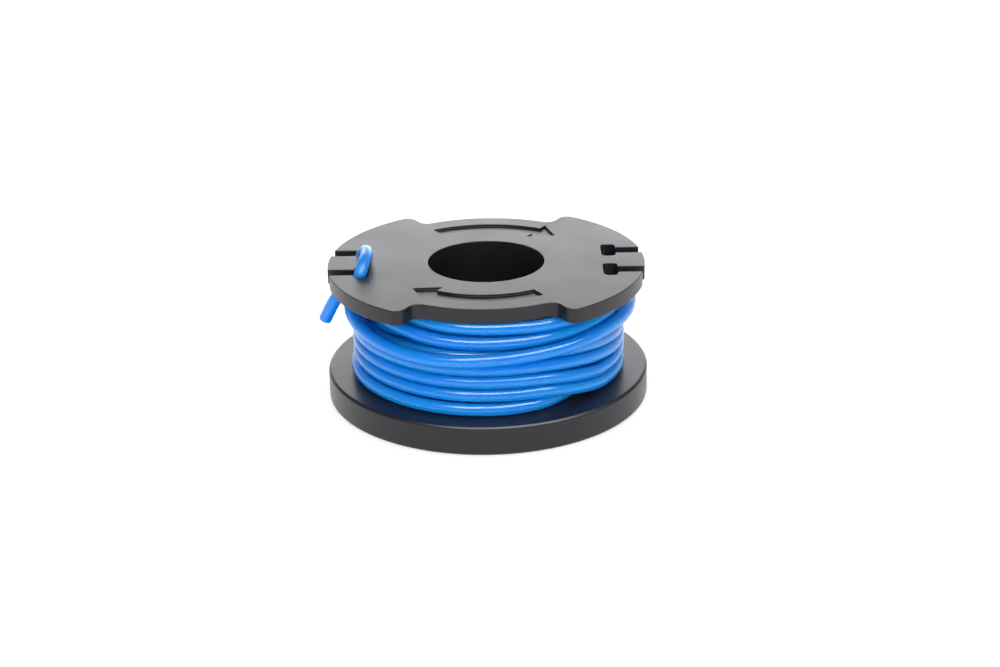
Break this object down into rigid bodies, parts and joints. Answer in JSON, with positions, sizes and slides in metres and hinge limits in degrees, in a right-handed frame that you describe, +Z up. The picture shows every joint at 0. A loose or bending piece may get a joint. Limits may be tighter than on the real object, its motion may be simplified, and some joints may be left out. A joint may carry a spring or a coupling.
{
  "type": "trimmer line spool",
  "caption": "Moulded spool wound with nylon cutting line for a grass trimmer head, its outer end looped over a tongue in the notched upper flange.",
  "frame": {"origin": "on the bore's axis, at the foot of the lower flange's rim", "axes": "+Z up the bore's axis towards the upper flange, X along the two keyhole tongues, the line's free end on -X, Y through the two stepped notches"},
  "size_m": [0.0617, 0.0606, 0.0285],
  "materials": {
    "spool_plastic": "satin black moulded plastic",
    "nylon_line": "translucent azure nylon monofilament"
  },
  "bodies": {
    "root": {"spool": "spool_plastic", "line_winding": "nylon_line", "line_end": "nylon_line"}
  },
  "joints": []
}
